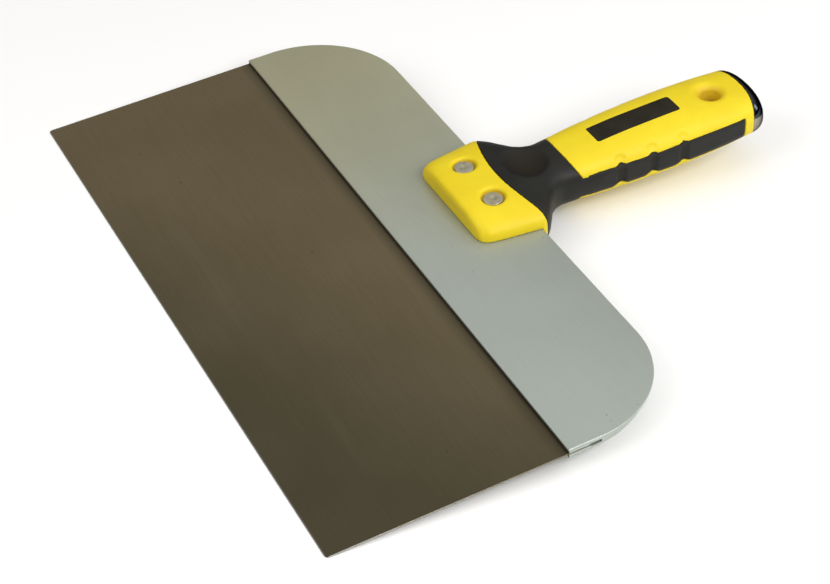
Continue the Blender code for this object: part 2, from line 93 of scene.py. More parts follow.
# Borders between the yellow core, the black grip and the steel cap
HEAD_BORDER_MIDDLE = 155.0
HEAD_BORDER_RADIUS = 76.0
COLLAR_END_MIDDLE = 191.3
COLLAR_END_SLOPE = 0.51
STRIP_HALF_HEIGHT = 4.85
STRIP_LOW_EXTRA = 1.45
STRIP_DEPTH = 3.2
STRIP_FLAT = 0.35
STRIP_FLAT_FADE_END = 204.0
STRIP_FLAT_FADE_LENGTH = 12.0
STRIP_FLAT_FADE_DEPTH = 0.8
STRIP_START = 186.0
STRIP_STEP = 192.0
STRIP_STEP_DROP = 0.5
STRIP_END = 272.3
STRIP_SAG = 0.4
STRIP_SAG_START = 235.0
CAP_BORDER_MIDDLE = 280.9
CAP_BORDER_CURVE = 0.0088
CAP_BORDER_SKEW = 0.05
CAP_DEPTH = 6.5
CAP_ROUNDING = 6.2
CAP_LEAN = 0.125
CAP_WALL = 1.5
CAP_LIP = 0.25
CAP_PROUD = 0.1

# Thumb dish on the collar
THUMB_CENTRE = (-1.9, 170.2)
THUMB_HALF_SIZE = (12.8, 10.0)
THUMB_DEPTH = 3.0
THUMB_LIFT = 9.0
THUMB_LIP = 0.6

# Finger grooves, and the dimples beside them
GROOVE_PLACES = (207.7, 223.6, 239.5)
GROOVE_RADIUS = 3.6
GROOVE_DEPTH = 1.5
GROOVE_HALF_HEIGHT = 6.2
GROOVE_LIP = 0.5
NOTCH_RADIUS = 3.4
NOTCH_TOP = 5.75
LEDGE_RADIUS = 4.6
LEDGE_RISE = 1.8
DIMPLE_RADIUS = 5.2
DIMPLE_DEPTH = 0.85
DIMPLE_INSET = 2.2
DIMPLE_FACING = (0.78, 0.63)
DIMPLE_LIP = 0.25

# Rivets and their seats
RIVET_PLACES = {-1: (-13.1, 146.0), 1: (12.3, 146.3)}
RIVET_HEAD_RADIUS = 4.45
RIVET_HEAD_TOP = 10.5
RIVET_HEAD_THICKNESS = 1.2
RIVET_SHANK_RADIUS = 2.5
RIVET_RECESS_RADIUS = 5.15
RIVET_RECESS_LIP = 2.0
RIVET_SEAT_ROUNDING = 0.3
RIVET_HEAD_ROUNDING = 0.45
RIVET_STEPS = 72
WASHER_THICKNESS = 0.9

# Hang hole and label panel
HANG_HOLE_CENTRE = (0.3, 265.0)
HANG_HOLE_RADIUS = 4.5
HANG_SINK_RADIUS = 6.6
HANG_SINK_DEPTH = 2.6
HANG_SINK_LIP = 1.9
HANG_SINK_BLEND = 0.5
HANG_RIM_DROP = 0.4
LABEL_HALF_WIDTH = 5.6
LABEL_START = 203.0
LABEL_END = 246.0
LABEL_CORNER_RADIUS = 1.2
LABEL_THICKNESS = 0.6
LABEL_RIM_WIDTH = 0.25
LABEL_RIM_RISE = 0.10
LABEL_LINE_INSET = 1.0
LABEL_LINE_WIDTH = 0.28
LABEL_LINE_DEPTH = 0.14
LABEL_STEPS = (28, 108)

# Fineness of the carved mouldings
VOXEL = 0.45
GRID_LOW = (-36.0, HANDLE_FRONT - 2.5, -14.0)
GRID_HIGH = (36.0, CAP_BORDER_MIDDLE + 1.5, 17.5)
EDGE_RADIUS = 0.35
CAP_EDGE_RADIUS = 0.3
SEAM_HALF_GAP = 0.06
HOLLOW_DEPTHS = (0.5, 2.1)

# Stage, in metres
FLOOR_HALF_SIZE = 4.0


# ---------------------------------------------------------------- from tool to row frame

def tool_to_row():
    """Matrix from tool axes in millimetres to the row frame, read from the blade's solid."""
    edge = frame["record"]["mounts"][0]
    tilt = atan2(-edge["axis"][2], -edge["axis"][1])
    turn = Matrix.Rotation(tilt, 4, "X")
    corners = [turn.inverted() @ v.co for v in frame["nodes"]["blade"].data.vertices]
    front = min(c.y for c in corners)
    height = (min(c.z for c in corners) + max(c.z for c in corners)) / 2
    return turn @ Matrix.Translation((0.0, front, height)) @ Matrix.Scale(MM, 4)


TO_ROW = tool_to_row()
JOINT_Y, JOINT_Z = (TO_ROW @ Vector((0.0, BACKING_FRONT, BLADE_THICKNESS / 2))).yz


def add_piece(name, mesh, material, nodes):
    """Place a mesh drawn in tool millimetres, as a piece that stands for CAD nodes."""
    mesh.transform(TO_ROW)
    mesh.materials.append(material)
    piece = bpy.data.objects.new(name, mesh)
    bpy.context.scene.collection.objects.link(piece)
    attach(piece, "root")
    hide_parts(*nodes)
    return piece


def mesh_from(name, bm, smooth_angle=0.6):
    """Mesh with outward faces, smooth apart from its real edges."""
    bmesh.ops.recalc_face_normals(bm, faces=bm.faces)
    mesh = bpy.data.meshes.new(name)
    bm.to_mesh(mesh)
    bm.free()
    mesh.polygons.foreach_set("use_smooth", [True] * len(mesh.polygons))
    mesh.set_sharp_from_angle(angle=smooth_angle)
    return mesh


def paint(mesh, name, values):
    """Store one value per vertex for a material to read."""
    attribute = mesh.attributes.new(name, "FLOAT", "POINT")
    attribute.data.foreach_set("value", np.asarray(values, np.float32))


# ---------------------------------------------------------------- envelope of the handle

SECTION_TABLE = np.array(HANDLE_SECTIONS)


def smooth_columns(places):
    """The four section sizes at each place, by a monotone cubic through the table."""
    knots = SECTION_TABLE[:, 0]
    values = SECTION_TABLE[:, 1:]
    spans = np.diff(knots)
    slopes = np.diff(values, axis=0) / spans[:, None]
    tangents = np.zeros_like(values)
    tangents[0], tangents[-1] = slopes[0], slopes[-1]
    before, after = slopes[:-1], slopes[1:]
    product = before * after
    total = np.where(product > 0, before + after, 1.0)
    tangents[1:-1] = np.where(product > 0, 2 * product / total, 0.0)
    at = np.clip(np.asarray(places, float), knots[0], knots[-1])
    k = np.clip(np.searchsorted(knots, at, side="right") - 1, 0, len(spans) - 1)
    span = spans[k][:, None]
    t = ((at - knots[k]) / spans[k])[:, None]
    start = (1 + 2 * t) * (1 - t) ** 2 * values[k] + t * (1 - t) ** 2 * span * tangents[k]
    end = t * t * (3 - 2 * t) * values[k + 1] + t * t * (t - 1) * span * tangents[k + 1]
    return (start + end).T


def section(y):
    """Half width, half height, middle height and squareness at one place."""
    return [float(column[0]) for column in smooth_columns([y])]


def top_height(x, y):
    """Height of the envelope's top surface."""
    half_width, half_height, middle, squareness = section(y)
    ratio = min(1.0, abs(x) / half_width)
    return middle + half_height * (1 - ratio ** squareness) ** (1 / squareness)


def cap_border(x):
    """Where the cap's front border lies at x, counted from its middle."""
    return -CAP_BORDER_SKEW * x - CAP_BORDER_CURVE * np.square(x)


# ---------------------------------------------------------------- distance-field carving

def soft_max(a, b, radius):
    """Intersection of two fields with a rounded edge."""
    overlap = np.maximum(radius - np.abs(a - b), 0.0) / radius
    return np.maximum(a, b) + overlap * overlap * radius * 0.25


def soft_min(a, b, radius):
    """Union of two fields with a rounded valley."""
    return -soft_max(-a, -b, radius)


class Field:
    """Grid of sample points round the handle and the fields of its features."""

    def __init__(self):
        self.low = np.array(GRID_LOW)
        counts = np.ceil((np.array(GRID_HIGH) - self.low) / VOXEL).astype(int)
        axes = [self.low[i] + VOXEL * np.arange(counts[i]) for i in range(3)]
        self.x = axes[0][:, None, None].astype(np.float32)
        self.y = axes[1][None, :, None].astype(np.float32)
        self.z = axes[2][None, None, :].astype(np.float32)
        sizes = smooth_columns(axes[1]).astype(np.float32)
        self.half_width, self.half_height, self.middle, self.squareness = [
            column[None, :, None] for column in sizes]

    def envelope(self):
        """Distance to the handle's outer surface, negative inside."""
        wide = np.abs(self.x) / self.half_width
        high = np.abs(self.z - self.middle) / self.half_height
        power = self.squareness
        ratio = (wide ** power + high ** power) ** (1 / power)
        steep = np.sqrt(sum(np.square(g) for g in np.gradient(ratio, VOXEL)))
        distance = (ratio - 1) / np.maximum(steep, 1e-4)
        return soft_max(distance, HANDLE_FRONT - self.y, HANDLE_FRONT_ROUNDING)

    def collar(self):
        """Neck region of the black grip: ahead of its border arc and behind the chevron."""
        reach = np.sqrt(np.maximum(HEAD_BORDER_RADIUS ** 2 - self.x ** 2, 1.0))
        front = HEAD_BORDER_MIDDLE + HEAD_BORDER_RADIUS - reach - self.y
        rear = self.y - COLLAR_END_MIDDLE + COLLAR_END_SLOPE * np.abs(self.z - self.middle)
        return np.maximum(front, 0.9 * rear)

    def strips(self):
        """Region of the black side strips."""
        sagging = (self.y - STRIP_SAG_START) / (STRIP_END - STRIP_SAG_START)
        sag = STRIP_SAG * np.clip(sagging, 0, 1)
        height = self.z - self.middle + sag
        drop = np.where(self.y < STRIP_STEP, STRIP_STEP_DROP, 0.0)
        drop = drop - np.where(height < 0, STRIP_LOW_EXTRA, 0.0)
        band = np.abs(height) - STRIP_HALF_HEIGHT + drop
        for y in GROOVE_PLACES:
            notch = NOTCH_TOP - NOTCH_RADIUS
            above = np.maximum(height - notch, 0)
            bump = np.sqrt((self.y - y) ** 2 + above ** 2) - NOTCH_RADIUS
            band = np.minimum(band, np.maximum(bump, -height))
            below = height + STRIP_HALF_HEIGHT + STRIP_LOW_EXTRA - LEDGE_RISE + LEDGE_RADIUS
            band = np.maximum(band, LEDGE_RADIUS - np.sqrt((self.y - y) ** 2 + below ** 2))
        inner = (self.half_width - STRIP_DEPTH) - np.abs(self.x)
        along = np.maximum(self.y - STRIP_END, STRIP_START - self.y)
        return np.maximum(np.maximum(band, inner), along)

    def upright_rod(self, centre, radius):
        """Distance to an upright rod."""
        return np.sqrt((self.x - centre[0]) ** 2 + (self.y - centre[1]) ** 2) - radius

    def thumb_dish(self, face):
        """Flat ellipsoid that leaves the thumb dish; face is 1 on top, -1 underneath."""
        x, y = THUMB_CENTRE
        _, half_height, middle, _ = section(y)
        centre = middle + face * (half_height + THUMB_LIFT)
        reach = THUMB_LIFT + THUMB_DEPTH
        grow = 1 / sqrt(1 - (THUMB_LIFT / reach) ** 2)
        half_x, half_y = [size * grow for size in THUMB_HALF_SIZE]
        ratio = np.sqrt(((self.x - x) / half_x) ** 2 + ((self.y - y) / half_y) ** 2
                        + ((self.z - centre) / reach) ** 2)
        return (ratio - 1) * reach

    def finger_grooves(self):
        """Upright channels with round ends in both sides of the handle."""
        found = None
        for y in GROOVE_PLACES:
            half_width, _, middle, _ = section(y)
            offset = half_width + GROOVE_RADIUS - GROOVE_DEPTH
            straight = GROOVE_HALF_HEIGHT - GROOVE_RADIUS
            above = np.maximum(np.abs(self.z - middle) - straight, 0)
            side = np.abs(self.x) - offset
            rod = np.sqrt(side ** 2 + (self.y - y) ** 2 + above ** 2) - GROOVE_RADIUS
            found = rod if found is None else np.minimum(found, rod)
        return found

    def dimples(self):
        """Shallow round marks on the shoulders beside the finger grooves."""
        found = None
        for y in GROOVE_PLACES:
            half_width, _, middle, _ = section(y)
            offset = half_width - DIMPLE_INSET
            surface = top_height(offset, y) - middle
            outward = Vector(DIMPLE_FACING).normalized() * (DIMPLE_RADIUS - DIMPLE_DEPTH)
            side = np.abs(self.x) - (offset + outward[0])
            up = np.abs(self.z - middle) - (surface + outward[1])
            ball = np.sqrt(side ** 2 + (self.y - y) ** 2 + up ** 2) - DIMPLE_RADIUS
            found = ball if found is None else np.minimum(found, ball)
        return found

    def rivet_seats(self):
        """Sunk seats of the rivets, open to the top and to the underside."""
        seat = RIVET_HEAD_TOP - RIVET_HEAD_THICKNESS
        found = None
        for side in (-1, 1):
            rod = self.upright_rod(RIVET_PLACES[side], RIVET_RECESS_RADIUS)
            room = soft_max(rod, seat - np.abs(self.z), RIVET_SEAT_ROUNDING)
            found = room if found is None else np.minimum(found, room)
        return found

    def hang_hole(self):
        """Through hole with a funnel at each end."""
        rod = self.upright_rod(HANG_HOLE_CENTRE, HANG_HOLE_RADIUS)
        rim = section(HANG_HOLE_CENTRE[1])[1] - HANG_RIM_DROP
        outward = np.abs(self.z - self.middle) - (rim - HANG_SINK_DEPTH)
        spread = (HANG_SINK_RADIUS - HANG_HOLE_RADIUS) / HANG_SINK_DEPTH
        widening = np.maximum(outward, 0.0) * spread
        funnel = (rod - widening) / sqrt(1 + spread ** 2)
        return soft_min(rod, funnel, HANG_SINK_BLEND)

    def jaw_pocket(self):
        """Room for the backing between the jaws of the head."""
        room = BACKING_THICKNESS / 2 + JAW_CLEARANCE
        return np.maximum(np.abs(self.z) - room, self.y - BACKING_REAR - 2 * JAW_CLEARANCE)

    def cap_end(self):
        """Curved border with the steel cap; positive on the cap's side."""
        return self.y - CAP_BORDER_MIDDLE - cap_border(self.x)


def skin(field, low):
    """Closed quad mesh on the zero surface of a field (naive surface nets)."""
    inside = field < 0
    corners = np.zeros([n - 1 for n in field.shape], np.int8)
    for i in (0, 1):
        for j in (0, 1):
            for k in (0, 1):
                corners += inside[i:i - 1 or None, j:j - 1 or None, k:k - 1 or None]
    crossed = (corners > 0) & (corners < 8)
    cells = np.argwhere(crossed)
    number = np.full(crossed.shape, -1, np.int32)
    number[crossed] = np.arange(len(cells))

    total = np.zeros((len(cells), 3))
    count = np.zeros(len(cells))
    for axis in range(3):
        others = [a for a in range(3) if a != axis]
        for i in (0, 1):
            for j in (0, 1):
                start = np.zeros(3, int)
                start[others[0]], start[others[1]] = i, j
                end = start.copy()
                end[axis] = 1
                at_start = field[tuple((cells + start).T)]
                at_end = field[tuple((cells + end).T)]
                change = (at_start < 0) != (at_end < 0)
                step = np.where(change, at_start / np.where(change, at_start - at_end, 1.0), 0.0)
                point = np.repeat(start[None, :].astype(float), len(cells), axis=0)
                point[:, axis] = step
                total += point * change[:, None]
                count += change
    points = low + VOXEL * (cells + total / count[:, None])

    quads = []
    for axis in range(3):
        first, second = [(axis + 1) % 3, (axis + 2) % 3]
        here = np.moveaxis(inside, axis, 0)
        change = np.moveaxis(here[:-1] != here[1:], 0, axis)
        edges = np.argwhere(change)
        keep = (edges[:, first] > 0) & (edges[:, second] > 0)
        edges = edges[keep]
        step_first = np.eye(3, dtype=int)[first]
        step_second = np.eye(3, dtype=int)[second]
        ring = [edges, edges - step_first, edges - step_first - step_second, edges - step_second]
        quad = np.stack([number[tuple(c.T)] for c in ring], axis=1)
        flip = ~inside[tuple(edges.T)]
        quad[flip] = quad[flip][:, ::-1]
        quads.append(quad)
    return points, np.concatenate(quads)


def mesh_from_field(name, field, low):
    """Smooth-shaded mesh of a carved field."""
    points, quads = skin(field, low)
    mesh = bpy.data.meshes.new(name)
    mesh.from_pydata(points.tolist(), [], quads.tolist())
    mesh.update()
    mesh.polygons.foreach_set("use_smooth", [True] * len(mesh.polygons))
    mesh.set_sharp_from_angle(angle=0.9)
    return mesh


# ---------------------------------------------------------------- material tools

class Look:
    """Principled material with short ways to add and join nodes."""

    def __init__(self, name, metallic=0.0):
        self.material = bpy.data.materials.new(name)
        self.material.use_nodes = True
        self.tree = self.material.node_tree
        self.shader = self.tree.nodes["Principled BSDF"]
        self.shader.inputs["Metallic"].default_value = metallic
        self.normal = None
        self.place = self.add("ShaderNodeTexCoord").outputs["Object"]

    def add(self, kind, **inputs):
        """New node; each keyword names an input, with _ for a space."""
        node = self.tree.nodes.new(kind)
        for name, value in inputs.items():
            self.feed(node.inputs[name.replace("_", " ")], value)
        return node

    def feed(self, socket, value):
        """Join a socket to an output, or give it a value or a colour."""
        if isinstance(value, bpy.types.NodeSocket):
            self.tree.links.new(value, socket)
        elif hasattr(value, "__len__") and len(value) == 3 and socket.type == "RGBA":
            socket.default_value = (*value, 1.0)
        else:
            socket.default_value = value

    def axis(self, name):
        """One object coordinate, in metres."""
        return self.add("ShaderNodeSeparateXYZ", Vector=self.place).outputs[name]

    def stretched(self, scale, turn=0.0):
        """Object coordinates turned about Z, then scaled along each axis."""
        node = self.add("ShaderNodeMapping", Vector=self.place)
        node.inputs["Scale"].default_value = scale
        node.inputs["Rotation"].default_value = (0.0, 0.0, turn)
        return node.outputs["Vector"]

    def noise(self, scale, detail=4.0, rough=0.55, stretch=(1.0, 1.0, 1.0), turn=0.0):
        """Noise value; scale is in waves per metre before stretching."""
        node = self.add("ShaderNodeTexNoise", Vector=self.stretched(stretch, turn), Scale=scale,
                        Detail=detail, Roughness=rough)
        return node.outputs["Fac"]

    def ramp(self, value, start, end, low=0.0, high=1.0):
        """Value mapped from start..end to low..high, held at the ends."""
        node = self.add("ShaderNodeMapRange", Value=value)
        node.interpolation_type = "SMOOTHSTEP"
        node.inputs["From Min"].default_value = start
        node.inputs["From Max"].default_value = end
        node.inputs["To Min"].default_value = low
        node.inputs["To Max"].default_value = high
        return node.outputs["Result"]

    def mix(self, share, first, second):
        """Blend of two colours."""
        node = self.tree.nodes.new("ShaderNodeMix")
        node.data_type = "RGBA"
        self.feed(node.inputs[0], share)
        self.feed(node.inputs[6], first)
        self.feed(node.inputs[7], second)
        return node.outputs[2]

    def maths(self, operation, first, second):
        """Arithmetic on two values."""
        node = self.tree.nodes.new("ShaderNodeMath")
        node.operation = operation
        self.feed(node.inputs[0], first)
        self.feed(node.inputs[1], second)
        return node.outputs[0]

    def mask(self, name):
        """Value painted on the mesh."""
        node = self.tree.nodes.new("ShaderNodeAttribute")
        node.attribute_name = name
        return node.outputs["Fac"]

    def colour(self, value):
        """Base colour, from a node or as a plain colour."""
        self.feed(self.shader.inputs["Base Color"], value)

    def roughness(self, value):
        """Roughness, from a node or as a plain number."""
        self.feed(self.shader.inputs["Roughness"], value)

    def bump(self, height, depth, strength=1.0):
        """Bump layer over the ones before it; depth is in metres."""
        node = self.add("ShaderNodeBump", Height=height, Distance=depth, Strength=strength)
        if self.normal is not None:
            self.feed(node.inputs["Normal"], self.normal)
        self.normal = node.outputs["Normal"]
        self.feed(self.shader.inputs["Normal"], self.normal)


# ---------------------------------------------------------------- materials

def blade_look():
    """Bronze-brown tempered steel with a fine lengthwise grain, and painted shading: darker towards
    one corner and along the backing.
    """
    lit_tones = (0.195, 0.154, 0.084), (0.216, 0.172, 0.097)
    shaded_tones = (0.088, 0.075, 0.043), (0.102, 0.088, 0.052)
    joint_shade, joint_reach = (0.050, 0.043, 0.027), 0.007
    grain_tone, streak_tone = (0.078, 0.060, 0.034), (0.22, 0.19, 0.13)
    speck_tone, worn_tone = (0.02, 0.016, 0.012), (0.26, 0.25, 0.22)

    look = Look("tempered_blade_steel", 0.85)
    grain = look.noise(900.0, 5.0, 0.7, (0.03, 1.0, 1.0))
    streaks = look.noise(60.0, 3.0, 0.6, (0.12, 1.0, 1.0), 0.5)
    clouds = look.ramp(look.noise(14.0, 3.0, 0.5), 0.35, 0.68)
    specks = look.noise(420.0, 2.0, 0.5)
    y = look.axis("Y")
    corner = look.maths("SUBTRACT", look.axis("X"), look.maths("MULTIPLY", y, 1.5))
    light = look.mix(clouds, *lit_tones)
    dark = look.mix(clouds, *shaded_tones)
    # Painted shading: the brighter tones give way to the darker tones towards one corner, where the
    # lamps light the blade less.
    base = look.mix(look.ramp(corner, 0.05, 0.325), light, dark)
    # Painted contact shadow: the blade darkens towards the backing's front edge.
    base = look.mix(look.ramp(y, JOINT_Y - joint_reach, JOINT_Y, 0.0, 0.55), base, joint_shade)
    base = look.mix(look.ramp(grain, 0.35, 0.65, 0.0, 0.14), base, grain_tone)
    base = look.mix(look.ramp(streaks, 0.55, 0.75, 0.0, 0.10), base, streak_tone)
    base = look.mix(look.ramp(specks, 0.76, 0.80, 0.0, 0.7), base, speck_tone)
    look.colour(look.mix(look.mask("edge"), base, worn_tone))
    look.roughness(look.ramp(grain, 0.3, 0.7, 0.38, 0.48))
    look.bump(grain, 0.00003, 0.4)
    look.bump(look.noise(9.0, 2.0, 0.5), 0.0004, 0.35)
    return look.material


def backing_look():
    """Satin aluminium, slightly specked, with a faint extrusion grain; a painted reflection tint
    runs warm to cool along X, and the jaws' front faces carry painted shade.
    """
    warm_tones = (0.450, 0.438, 0.292), (0.485, 0.472, 0.320)
    cool_tones = (0.385, 0.425, 0.380), (0.420, 0.462, 0.420)
    grain_tone, speck_tone = (0.29, 0.30, 0.24), (0.12, 0.12, 0.09)
    jaw_face_shade = (0.060, 0.062, 0.050)

    look = Look("satin_aluminium", 0.6)
    grain = look.noise(1400.0, 4.0, 0.7, (0.04, 1.0, 1.0))
    fine = look.noise(2600.0, 3.0, 0.6)
    clouds = look.ramp(look.noise(11.0, 3.0, 0.5), 0.35, 0.7)
    specks = look.noise(520.0, 2.0, 0.5)
    warm = look.mix(clouds, *warm_tones)
    cool = look.mix(clouds, *cool_tones)
    # Painted reflection tint: warm towards -X, cooler towards +X.
    base = look.mix(look.ramp(look.axis("X"), -0.13, 0.06), warm, cool)
    base = look.mix(look.ramp(grain, 0.4, 0.7, 0.0, 0.10), base, grain_tone)
    base = look.mix(look.ramp(specks, 0.745, 0.785, 0.0, 0.5), base, speck_tone)
    # Painted shade: the jaws' front faces beside the blade are coloured near-black.
    front = look.ramp(look.axis("Y"), JOINT_Y + 0.0001, JOINT_Y + 0.0005, 1.0, 0.0)
    low = look.ramp(look.axis("Z"), JOINT_Z + 0.0010, JOINT_Z + 0.0016, 1.0, 0.0)
    look.colour(look.mix(look.maths("MULTIPLY", front, low), base, jaw_face_shade))
    look.roughness(look.ramp(fine, 0.3, 0.7, 0.38, 0.52))
    look.bump(fine, 0.00003, 0.5)
    look.bump(grain, 0.00002, 0.3)
    return look.material


def yellow_look():
    """Satin yellow moulding, darker orange in patches in its hollows."""
    tones = (0.725, 0.550, 0.010), (0.770, 0.605, 0.014)
    hollow_patch_tone = (0.62, 0.38, 0.03)

    look = Look("yellow_plastic")
    texture = look.noise(2400.0, 3.0, 0.6)
    base = look.mix(look.ramp(look.noise(45.0, 3.0, 0.55), 0.3, 0.7), *tones)
    patches = look.ramp(look.noise(260.0), 0.35, 0.65, 0.3, 0.7)
    # Darker orange in patches where the surface lies well below the smooth envelope.
    look.colour(look.mix(look.maths("MULTIPLY", look.mask("hollow"), patches), base, hollow_patch_tone))
    look.roughness(look.ramp(texture, 0.3, 0.7, 0.44, 0.56))
    look.bump(texture, 0.00004, 0.35)
    look.bump(look.noise(170.0, 3.0, 0.5), 0.00012, 0.25)
    look.shader.inputs["Specular IOR Level"].default_value = 0.3
    look.shader.inputs["Subsurface Weight"].default_value = 0.05
    look.shader.inputs["Subsurface Radius"].default_value = (0.002, 0.0012, 0.0003)
    return look.material


def black_look():
    """Matte black soft moulding with a fine stipple, browned in the thumb dish."""
    tones = (0.0080, 0.0080, 0.0065), (0.0125, 0.0122, 0.0100)
    hollow_tone = (0.0120, 0.0085, 0.0040)

    look = Look("black_soft_plastic")
    stipple = look.noise(3200.0, 2.0, 0.5)
    base = look.mix(look.ramp(look.noise(60.0, 3.0, 0.55), 0.3, 0.7), *tones)
    look.colour(look.mix(look.mask("hollow"), base, hollow_tone))
    look.roughness(look.ramp(stipple, 0.3, 0.7, 0.46, 0.60))
    look.bump(stipple, 0.00006, 0.45)
    look.shader.inputs["Specular IOR Level"].default_value = 0.28
    return look.material


def dull_steel_look(name, colour):
    """Dull plated steel with fine scratches."""
    look = Look(name, 0.7)
    scratches = look.noise(2500.0, 4.0, 0.7)
    darker = tuple(0.6 * c for c in colour)
    clouds = look.ramp(look.noise(350.0, 3.0, 0.5), 0.35, 0.7, 0.0, 0.7)
    look.colour(look.mix(clouds, colour, darker))
    look.roughness(look.ramp(scratches, 0.3, 0.7, 0.34, 0.55))
    look.bump(scratches, 0.00003, 0.5)
    return look.material


def label_look():
    """Plain dark satin panel, with a faint variation of tone."""
    tones = (0.014, 0.012, 0.007), (0.021, 0.018, 0.011)

    look = Look("label_black")
    look.colour(look.mix(look.ramp(look.noise(120.0, 3.0, 0.5), 0.3, 0.7), *tones))
    look.roughness(look.ramp(look.noise(2200.0, 3.0), 0.3, 0.7, 0.46, 0.60))
    look.bump(look.noise(1800.0, 3.0), 0.00003, 0.4)
    look.shader.inputs["Specular IOR Level"].default_value = 0.15
    return look.material


def chrome_look():
    """Polished plated steel with faint smears, and a painted reflection: a dark upper band and a
    pale lower one.
    """
    pale_reflection_tone, dark_reflection_tone = (0.35, 0.325, 0.275), (0.050, 0.054, 0.064)
    smear_tone = (0.12, 0.12, 0.13)

    look = Look("chrome", 1.0)
    smears = look.noise(180.0, 4.0, 0.6, (1.0, 1.0, 3.0))
    # Painted reflection: the base colour is dark on the upper part and pale below, standing in for
    # dark surroundings above and the pale floor below.
    steel = look.mix(look.ramp(look.axis("Z"), 0.0284, 0.0294), pale_reflection_tone, dark_reflection_tone)
    look.colour(look.mix(look.ramp(smears, 0.4, 0.8, 0.0, 0.2), steel, smear_tone))
    look.roughness(look.ramp(smears, 0.35, 0.75, 0.03, 0.11))
    look.bump(look.noise(90.0, 2.0), 0.0001, 0.2)
    look.shader.inputs["Specular Tint"].default_value = (0.20, 0.20, 0.22, 1.0)
    return look.material


def floor_look():
    """Plain matte near-white."""
    look = Look("pale_floor")
    look.colour((0.90, 0.90, 0.90))
    look.roughness(0.7)
    return look.material


# ---------------------------------------------------------------- flat pieces

def arc_points(centre, radius, start, end, steps):
    """Arc points of a plan outline; angles in radians."""
    angles = [start + (end - start) * k / steps for k in range(steps + 1)]
    return [(centre[0] + radius * cos(t), centre[1] + radius * sin(t)) for t in angles]


def add_loft(bm, rings):
    """Skin a row of equal-length rings and close both ends."""
    rows = [[bm.verts.new(point) for point in ring] for ring in rings]
    count = len(rows[0])
    for row, following in zip(rows, rows[1:]):
        for i in range(count):
            j = (i + 1) % count
            bm.faces.new((row[i], row[j], following[j], following[i]))
    bm.faces.new(rows[0])
    bm.faces.new(rows[-1])


def make_blade():
    """Sheet with slightly rounded front corners and broken edges."""
    half, r = BLADE_WIDTH / 2, BLADE_CORNER_RADIUS
    top = BLADE_THICKNESS / 2
    soft = BLADE_EDGE_BREAK

    def outline(inset):
        points = arc_points((-half + r, r), r - inset, pi, 1.5 * pi, 8)
        points += arc_points((half - r, r), r - inset, 1.5 * pi, 2 * pi, 8)
        points += [(half - inset, BLADE_DEPTH), (-half + inset, BLADE_DEPTH)]
        return points

    levels = [(top - soft, 0.0), (top, soft), (top, 0.5)]
    levels = [(-z, inset) for z, inset in reversed(levels)] + levels
    bm = bmesh.new()
    add_loft(bm, [[Vector((x, y, z)) for x, y in outline(inset)] for z, inset in levels])
    mesh = mesh_from("blade_sheet", bm, 0.5)
    worn = [min(half - abs(v.co.x), v.co.y) < BLADE_WORN_WIDTH and v.co.y < BLADE_DEPTH - 1
            for v in mesh.vertices]
    paint(mesh, "edge", worn)
    return mesh


def cut(piece, name, fill):
    """Subtract a helper body from a piece and keep only the result."""
    bm = bmesh.new()
    fill(bm)
    bmesh.ops.recalc_face_normals(bm, faces=bm.faces)
    mesh = bpy.data.meshes.new(name)
    bm.to_mesh(mesh)
    bm.free()
    helper = bpy.data.objects.new(name, mesh)
    bpy.context.scene.collection.objects.link(helper)
    step = piece.modifiers.new(name, "BOOLEAN")
    step.operation = "DIFFERENCE"
    step.solver = "EXACT"
    step.object = helper
    bpy.context.view_layer.update()
    graph = bpy.context.evaluated_depsgraph_get()
    result = bpy.data.meshes.new_from_object(piece.evaluated_get(graph))
    piece.modifiers.clear()
    piece.data = result
    bpy.data.objects.remove(helper)


def make_backing():
    """Slotted extrusion with round rear corners and rolled edges."""
    half = BLADE_WIDTH / 2
    left = BACKING_LEFT_CORNER_RADIUS
    top = BACKING_THICKNESS / 2
    rolled = BACKING_ROLLED_EDGE
    widening = BACKING_RIGHT_BOTTOM_RADIUS - BACKING_RIGHT_TOP_RADIUS

    def outline(inset, z):
        right = BACKING_RIGHT_TOP_RADIUS + widening * (top - z) / BACKING_THICKNESS
        points = [(-half + inset, BACKING_FRONT + inset), (half - inset, BACKING_FRONT + inset)]
        points += arc_points((half - right, BACKING_REAR - right), right - inset, 0.0, 0.5 * pi, 48)
        points += arc_points((-half + left, BACKING_REAR - left), left - inset, 0.5 * pi, pi, 48)
        return points

    levels = []
    steps = 5
    for k in range(steps + 1):
        t = 0.5 * pi * k / steps
        levels.append((top - rolled * (1 - sin(t)), rolled * (1 - cos(t))))
    levels = [(-z, inset) for z, inset in reversed(levels)] + levels
    bm = bmesh.new()
    add_loft(bm, [[Vector((x, y, z)) for x, y in outline(inset, z)] for z, inset in levels])
    body = bpy.data.objects.new("backing_blank", mesh_from("backing_bar", bm))
    bpy.context.scene.collection.objects.link(body)

    def add_slot(bm):
        corners = ((BACKING_FRONT - 5, LIP_GAP / 2), (SLOT_STEP, LIP_GAP / 2),
                   (SLOT_STEP, SLOT_GAP / 2), (SLOT_END, SLOT_GAP / 2))
        ring = list(corners) + [(y, -z) for y, z in reversed(corners)]
        reach = half + 5
        add_loft(bm, [[Vector((x, y, z)) for y, z in ring] for x in (-reach, reach)])

    cut(body, "slot_cutter", add_slot)
    mesh = body.data
    bpy.data.objects.remove(body)
    mesh.polygons.foreach_set("use_smooth", [True] * len(mesh.polygons))
    mesh.set_sharp_from_angle(angle=0.5)
    return mesh


# ---------------------------------------------------------------- turned and moulded pieces

